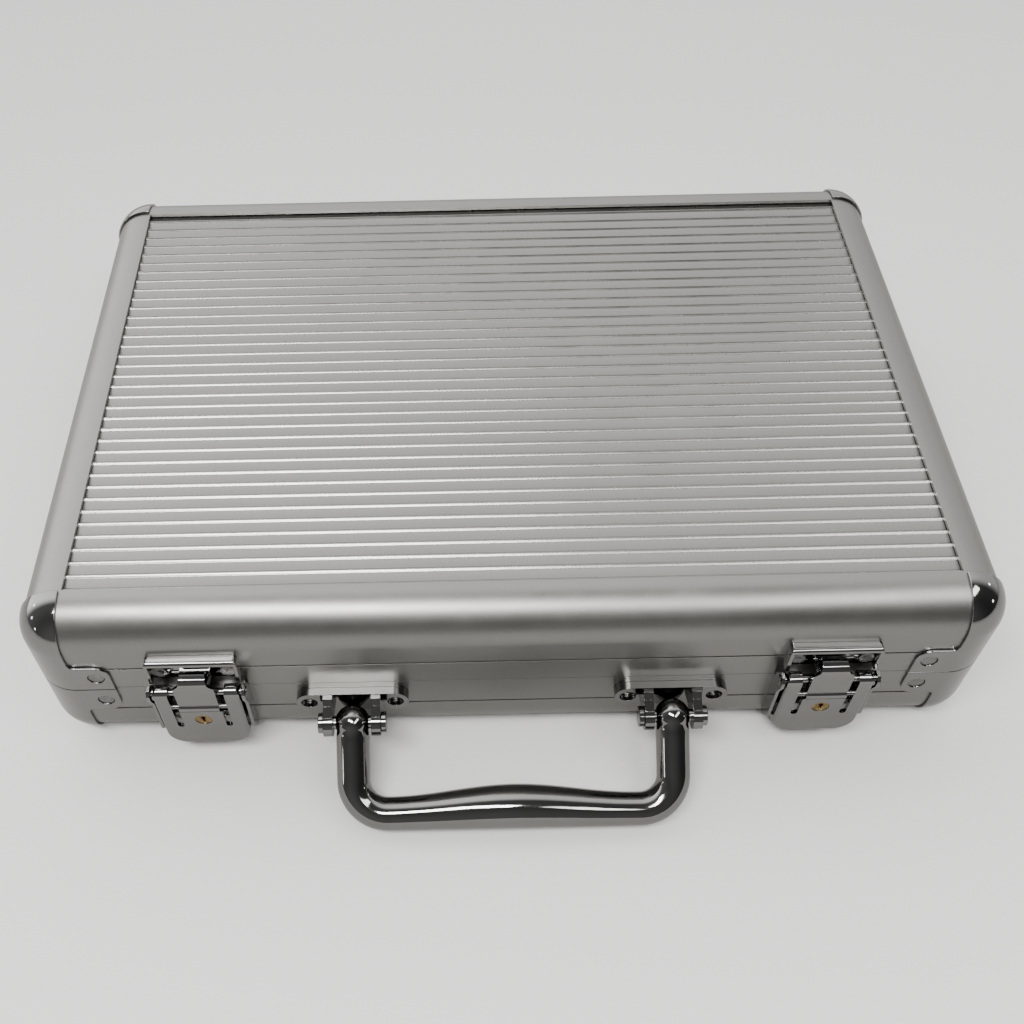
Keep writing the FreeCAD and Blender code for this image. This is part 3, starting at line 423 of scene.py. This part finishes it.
def make_lights():
    area_light("key_strip", KEY_PLACE, KEY_TARGET, KEY_SIZE, KEY_POWER, STRIP_COLOUR)
    area_light("fill_strip", FILL_PLACE, KEY_TARGET, FILL_SIZE, FILL_POWER, STRIP_COLOUR)
    for index, place in enumerate(LAMP_PLACES):
        area_light("lamp_%d" % (index + 1), place, KEY_TARGET, LAMP_SIZE, LAMP_POWER)


# ---------- panels ----------

RIB_PITCH = 5.0 * MM
RIB_COUNT = 36
FIRST_RIB_Y = -88.75 * MM
RIB_WIDTH = 1.7 * MM
RIB_RISE = 0.6 * MM                         # the CAD ribs' height, which sets where the flats lie
RIB_HEIGHT = 0.5 * MM
RIB_CREST = 0.6                             # share of the width in front of the crest
RIB_EASE = 0.2                              # share of each flank that is rounded at either end
RIB_CROWN = 0.27                            # how much steeper a flank is at its foot than halfway up
RIB_STEPS = 20
PANEL_SHEET = 1.0 * MM
PANEL_SPANS = 8


def eased(share):
    """A straight rise from 0 to 1 with rounded ends."""
    if share < RIB_EASE:
        return share ** 2 / (2 * RIB_EASE * (1 - RIB_EASE))
    if share > 1 - RIB_EASE:
        return 1 - eased(1 - share)
    return (share - RIB_EASE / 2) / (1 - RIB_EASE)


def flank(share):
    """Height of a rib's flank from 0 at its foot to 1 at its crest."""
    rise = eased(share)
    return (1 + RIB_CROWN) * rise - RIB_CROWN * rise ** 2


def rib_profile(low_y, high_y):
    """Points (y, height) of the ribbed face from front to rear."""
    points = [(low_y, 0.0)]
    for index in range(RIB_COUNT):
        front = FIRST_RIB_Y + RIB_PITCH * index - RIB_WIDTH / 2
        for step in range(RIB_STEPS + 1):
            share = step / RIB_STEPS
            height = flank(share / RIB_CREST) if share < RIB_CREST else flank((1 - share) / (1 - RIB_CREST))
            points.append((front + share * RIB_WIDTH, RIB_HEIGHT * height))
    points.append((high_y, 0.0))
    return points


def ribbed_sheet(node, side):
    """The ribbed sheet of one half: side is 1 for the lid's upper face and -1 for the base's lower face."""
    low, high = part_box(node)
    flat = (high.z if side > 0 else low.z) - side * RIB_RISE
    profile = rib_profile(low.y, high.y)
    spans = [low.x + (high.x - low.x) * index / PANEL_SPANS for index in range(PANEL_SPANS + 1)]
    work = bmesh.new()
    rows = []
    for x in spans:
        top = [work.verts.new((x, y, flat + side * height)) for y, height in profile]
        back = flat - side * PANEL_SHEET
        under = [work.verts.new((x, profile[-1][0], back)), work.verts.new((x, profile[0][0], back))]
        rows.append(top + under)
    count = len(rows[0])
    for near, far in zip(rows, rows[1:]):
        for index in range(count):
            after = (index + 1) % count
            work.faces.new((near[index], near[after], far[after], far[index]))
    work.faces.new(rows[0])
    work.faces.new(list(reversed(rows[-1])))
    bmesh.ops.recalc_face_normals(work, faces=work.faces)
    mesh = bpy.data.meshes.new(node + "_sheet")
    work.to_mesh(mesh)
    work.free()
    smooth_by_angle(mesh, PANEL_SHARP_DEG)
    return mesh


def make_panels():
    for half, side in (("lid", 1), ("base", -1)):
        node = half + "_panel"
        sheet = ribbed_sheet(node, side)
        piece = add_piece(node + "_ribbed", sheet, MATERIALS["panel"], half)
        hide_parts(node)


# ---------- handle ----------

HANDLE_DROP_DEG = 38.0
HANDLE_REACH = 28.5 * MM
HANDLE_HALF = 49.5 * MM
HANDLE_RADIUS = 5.15 * MM
HANDLE_BALL = 5.45 * MM
HANDLE_BULGE = 1.6 * MM
HANDLE_CORNER = 10.5 * MM
HANDLE_NECK = 0.64                          # half turns from the ball's pole to the leg
HANDLE_NECK_DIP = 0.25 * MM
HANDLE_NECK_LENGTH = 1.2 * MM
BALL_STEPS = 16
LEG_STEPS = 8
BEND_STEPS = 14
GRIP_STEPS = 20
HANDLE_SIDES = 48


def handle_stations():
    """Rings of the left half of the handle as (x, reach, heading, radius); heading 0 points along the leg."""
    rings = []
    for step in range(1, BALL_STEPS + 1):
        angle = math.pi * (1.0 - HANDLE_NECK * step / BALL_STEPS)
        along = HANDLE_BALL * math.cos(angle)
        rings.append((-HANDLE_HALF, along, 0.0, HANDLE_BALL * math.sin(angle)))
    leg_end = HANDLE_REACH - HANDLE_CORNER
    neck = rings[-1][1]
    for step in range(1, LEG_STEPS + 1):
        along = neck + (leg_end - neck) * step / LEG_STEPS
        dip = HANDLE_NECK_DIP * math.exp(-((along - neck) / HANDLE_NECK_LENGTH) ** 2)
        rings.append((-HANDLE_HALF, along, 0.0, HANDLE_RADIUS - dip))
    for step in range(1, BEND_STEPS + 1):
        turn = math.pi / 2 * step / BEND_STEPS
        rings.append((-HANDLE_HALF + HANDLE_CORNER * (1 - math.cos(turn)),
                      leg_end + HANDLE_CORNER * math.sin(turn), turn, HANDLE_RADIUS))
    grip_half = HANDLE_HALF - HANDLE_CORNER
    for step in range(1, GRIP_STEPS + 1):
        x = -grip_half * (1 - step / GRIP_STEPS)
        swell = HANDLE_BULGE * math.cos(math.pi * x / grip_half / 2) ** 2
        rings.append((x, HANDLE_REACH - swell, math.pi / 2, HANDLE_RADIUS + swell))
    return rings


def make_handle():
    pivot = JOINT_POS["handle_swing"]
    drop = math.radians(HANDLE_DROP_DEG)
    ahead = Vector((0, -math.cos(drop), -math.sin(drop)))
    lift = Vector((0, -math.sin(drop), math.cos(drop)))
    half = handle_stations()
    rings = half + [(-x, reach, math.pi - turn, radius) for x, reach, turn, radius in reversed(half[:-1])]
    work = bmesh.new()
    rows = []
    for x, reach, turn, radius in rings:
        centre = pivot + Vector((x, 0, 0)) + ahead * reach
        across = Vector((-math.cos(turn), 0, 0)) + ahead * math.sin(turn)
        row = []
        for side in range(HANDLE_SIDES):
            angle = 2 * math.pi * side / HANDLE_SIDES
            spot = centre + across * radius * math.cos(angle) + lift * radius * math.sin(angle)
            row.append(work.verts.new(spot))
        rows.append(row)
    for near, far in zip(rows, rows[1:]):
        for side in range(HANDLE_SIDES):
            after = (side + 1) % HANDLE_SIDES
            work.faces.new((near[side], near[after], far[after], far[side]))
    for row, x in ((rows[0], -HANDLE_HALF), (rows[-1], HANDLE_HALF)):
        pole = work.verts.new(pivot + Vector((x, 0, 0)) - ahead * HANDLE_BALL)
        for side in range(HANDLE_SIDES):
            work.faces.new((row[side], row[(side + 1) % HANDLE_SIDES], pole))
    bmesh.ops.recalc_face_normals(work, faces=work.faces)
    mesh = bpy.data.meshes.new("handle_bar")
    work.to_mesh(mesh)
    work.free()
    smooth_by_angle(mesh, HANDLE_SHARP_DEG)
    piece = add_piece("handle_bar", mesh, MATERIALS["cast_chrome"], "handle")
    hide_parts("handle")


# ---------- lid pad ----------

PAD_SIDE_ROOM = 1.3 * MM                    # how far the unswollen pad stays inside its solid
PAD_FACE_ROOM = 1.0 * MM
PAD_EDGE_SLACK = 0.3 * MM                   # how far the swollen pad stays inside its solid
PAD_BACK_SLACK = 0.05 * MM
CLOTH_FRAMES = 20
PAD_VOXEL = 5.0 * MM
PAD_PRESSURE = 4.0
PAD_SWELL = 1.8 * MM
PAD_SEAM_INSET = 15.0 * MM
PAD_SEAM_WIDTH = 4.0 * MM
PAD_SEAM_DEPTH = 2.4 * MM
STITCH_PITCH = 4.2 * MM
STITCH_LENGTH = 2.9 * MM
STITCH_RADIUS = 0.5 * MM
STITCH_SEARCH_FLATTEN = 0.2                 # how much heights count in finding the pad's face under a stitch
STITCH_SEGMENTS = 10
STITCH_RINGS = 8


def swollen(mesh, voxel, pressure, limit):
    """The mesh remeshed evenly and swollen as cloth under pressure, with no point moved beyond the limit."""
    scene = bpy.context.scene
    soft = bpy.data.objects.new("soft", mesh)
    scene.collection.objects.link(soft)
    remesh = soft.modifiers.new("remesh", "REMESH")
    remesh.mode = "VOXEL"
    remesh.voxel_size = voxel
    even = applied(soft)
    soft.modifiers.clear()
    soft.data = even
    before = [vert.co.copy() for vert in even.vertices]
    cloth = soft.modifiers.new("cloth", "CLOTH")
    cloth.settings.use_pressure = True
    cloth.settings.uniform_pressure_force = pressure
    cloth.settings.effector_weights.gravity = 0.0
    for number in range(1, CLOTH_FRAMES + 1):
        scene.frame_set(number)
    after = applied(soft)
    soft.modifiers.clear()
    for vert, start, end in zip(even.vertices, before, after.vertices):
        move = end.co - start
        vert.co = start + move * min(1.0, limit / max(move.length, 1e-9))
    scene.frame_set(1)
    soft.modifiers.new("smoother", "SUBSURF").levels = 1
    made = applied(soft)
    bpy.data.objects.remove(soft)
    return made


def seam_distance(x, y, half_x, half_y):
    """Distance of a point from the rectangle of the pad's sewn channel."""
    out_x, out_y = abs(x) - half_x, abs(y) - half_y
    if out_x > 0 and out_y > 0:
        return math.hypot(out_x, out_y)
    return abs(max(out_x, out_y))


def make_pad():
    """The lid's pad: felt over foam, crowned, flat against the lid, with a sewn channel inside its edge."""
    low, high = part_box("lid_foam_pad")
    half_x, half_y = high.x - PAD_SIDE_ROOM, high.y - PAD_SIDE_ROOM
    mesh = frame["nodes"]["lid_foam_pad"].data.copy()
    for vert in mesh.vertices:
        vert.co.x *= half_x / high.x
        vert.co.y *= half_y / high.y
        vert.co.z = max(vert.co.z, low.z + PAD_FACE_ROOM)
    mesh = swollen(mesh, PAD_VOXEL, PAD_PRESSURE, PAD_SWELL)
    seam_x, seam_y = half_x - PAD_SEAM_INSET, half_y - PAD_SEAM_INSET
    middle = (low.z + high.z) / 2
    for vert in mesh.vertices:
        spot = vert.co
        if spot.z < middle:
            near = seam_distance(spot.x, spot.y, seam_x, seam_y) / PAD_SEAM_WIDTH
            spot.z += PAD_SEAM_DEPTH * math.exp(-near ** 2)
        spot.x = max(low.x + PAD_EDGE_SLACK, min(high.x - PAD_EDGE_SLACK, spot.x))
        spot.y = max(low.y + PAD_EDGE_SLACK, min(high.y - PAD_EDGE_SLACK, spot.y))
        spot.z = min(spot.z, high.z - PAD_BACK_SLACK)
    smooth_by_angle(mesh, ALL_SMOOTH_DEG)
    pad = add_piece("lid_pad", mesh, MATERIALS["foam"], "lid")
    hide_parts("lid_foam_pad")
    make_stitches(mesh, seam_x, seam_y)


def make_stitches(mesh, seam_x, seam_y):
    """Thread along the pad's channel, one rounded stitch after another."""
    tree = KDTree(len(mesh.vertices))
    for index, vert in enumerate(mesh.vertices):
        tree.insert(Vector((vert.co.x, vert.co.y, vert.co.z * STITCH_SEARCH_FLATTEN)), index)
    tree.balance()
    floor = min(vert.co.z for vert in mesh.vertices) * STITCH_SEARCH_FLATTEN
    work = bmesh.new()
    for along, across, turn in ((seam_x, seam_y, 0.0), (seam_y, seam_x, math.pi / 2)):
        count = int(2 * along / STITCH_PITCH)
        for side in (-1, 1):
            for index in range(count):
                spot = Vector(((index + 0.5 - count / 2) * STITCH_PITCH, side * across, 0.0))
                spot.rotate(Matrix.Rotation(turn, 3, "Z"))
                near = tree.find(Vector((spot.x, spot.y, floor)))[1]
                spot.z = mesh.vertices[near].co.z
                place = Matrix.Translation(spot) @ Matrix.Rotation(turn, 4, "Z")
                place = place @ Matrix.Diagonal((STITCH_LENGTH / (2 * STITCH_RADIUS), 1.0, 1.0, 1.0))
                bmesh.ops.create_uvsphere(work, u_segments=STITCH_SEGMENTS, v_segments=STITCH_RINGS,
                                          radius=STITCH_RADIUS, matrix=place)
    thread = bpy.data.meshes.new("lid_pad_stitches")
    work.to_mesh(thread)
    work.free()
    smooth_by_angle(thread, ALL_SMOOTH_DEG)
    add_piece("lid_pad_stitches", thread, MATERIALS["thread"], "lid")


# ---------- rails and fittings ----------

def make_rails():
    for half in ("lid", "base"):
        rails = [half + "_" + side + "_rail" for side in ("front", "rear", "left", "right")]
        ease(rails, 0.06 * MM, MATERIALS["rail"], half)


# Node, rounding in millimetres, material, slot, body and segments of the fittings; {} is left or right.
SIDE_FITTINGS = (
    ("{}_latch_plate", 0.15, "chrome", "chrome", "base", 2),
    ("{}_handle_bracket", 0.4, "cast_chrome", "chrome", "base", 3),
    ("{}_hinge_base_leaf", 0.15, "chrome", "chrome", "base", 2),
    ("{}_hinge_lid_leaf", 0.15, "chrome", "chrome", "lid", 2),
    ("{}_catch_plate", 0.25, "chrome", "chrome", "lid", 2),
    ("{}_latch_lever", 0.3, "chrome", "chrome", "{}_lever", 2),
    ("{}_link_pin", 0.1, "rivet", "rivet_steel", "{}_lever", 2),
    ("{}_draw_link", 0.25, "chrome", "chrome", "{}_link", 2),
    ("{}_key_cylinder", 0.12, "brass", "brass", "{}_key", 2),
    ("{}_lock_cam", 0.1, "rivet", "rivet_steel", "{}_key", 2),
)


def make_fittings():
    places = ("front_left", "front_right", "rear_left", "rear_right")
    for half in ("lid", "base"):
        corners = [half + "_" + place + "_corner" for place in places]
        ease(corners, 0.2 * MM, MATERIALS["chrome"], half)
        ease([half + "_corner_rivets"], 0.1 * MM, MATERIALS["rivet"], half)
        ease([half + "_lining"], 0.5 * MM, MATERIALS["lining"], half, 3)
    make_tray()
    ease(["latch_plate_rivets", "handle_bracket_rivets", "hinge_base_rivets", "hinge_pins"], 0.1 * MM,
         MATERIALS["rivet"], "base")
    ease(["catch_plate_rivets", "hinge_lid_rivets"], 0.1 * MM, MATERIALS["rivet"], "lid")
    ease(["latch_lever_pins", "handle_pins"], 0.25 * MM, MATERIALS["chrome"], "base")
    for side in ("left", "right"):
        for node, width, material, slot, body, segments in SIDE_FITTINGS:
            ease([node.format(side)], width * MM, MATERIALS[material], body.format(side), segments)


# ---------- chip tray ----------

TRAY_RIM_ROUND = 0.9 * MM
TRAY_RIM_SEGMENTS = 4
TRAY_BORDER = 1.0 * MM                      # rims this near the tray's outline stay sharp
TRAY_TOP_SLACK = 0.01 * MM
TRAY_FLAT_TURN = 1e-4                       # radians
TRAY_RIM_TURN = 0.5


def make_tray():
    """The flocked tray, its rims rolled over as a formed sheet's are."""
    mesh, work = opened_copy("chip_tray")
    flat = [edge for edge in work.edges
            if len(edge.link_faces) == 2 and edge.calc_face_angle(0.0) < TRAY_FLAT_TURN]
    bmesh.ops.dissolve_edges(work, edges=flat, use_verts=False)
    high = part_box("chip_tray")[1]
    top, side, front = high.z - TRAY_TOP_SLACK, high.x - TRAY_BORDER, high.y - TRAY_BORDER
    rims = []
    for edge in work.edges:
        on_top = all(vert.co.z > top for vert in edge.verts)
        inside = all(abs(vert.co.x) < side and abs(vert.co.y) < front for vert in edge.verts)
        if on_top and inside and len(edge.link_faces) == 2 and edge.calc_face_angle(0.0) > TRAY_RIM_TURN:
            rims.append(edge)
    bmesh.ops.bevel(work, geom=rims, offset=TRAY_RIM_ROUND, offset_type="OFFSET",
                    segments=TRAY_RIM_SEGMENTS, profile=0.5, affect="EDGES", clamp_overlap=True)
    bmesh.ops.triangulate(work, faces=[face for face in work.faces if len(face.verts) > 4])
    close_copy(work, mesh)
    smooth_by_angle(mesh, TRAY_SHARP_DEG)
    piece = add_piece("chip_tray_flocked", mesh, MATERIALS["tray"], "base")
    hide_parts("chip_tray")


# ---------- the order of building ---------------------


make_camera()
make_world()
make_lights()
make_floor()
make_panels()
make_rails()
make_handle()
make_fittings()
make_pad()
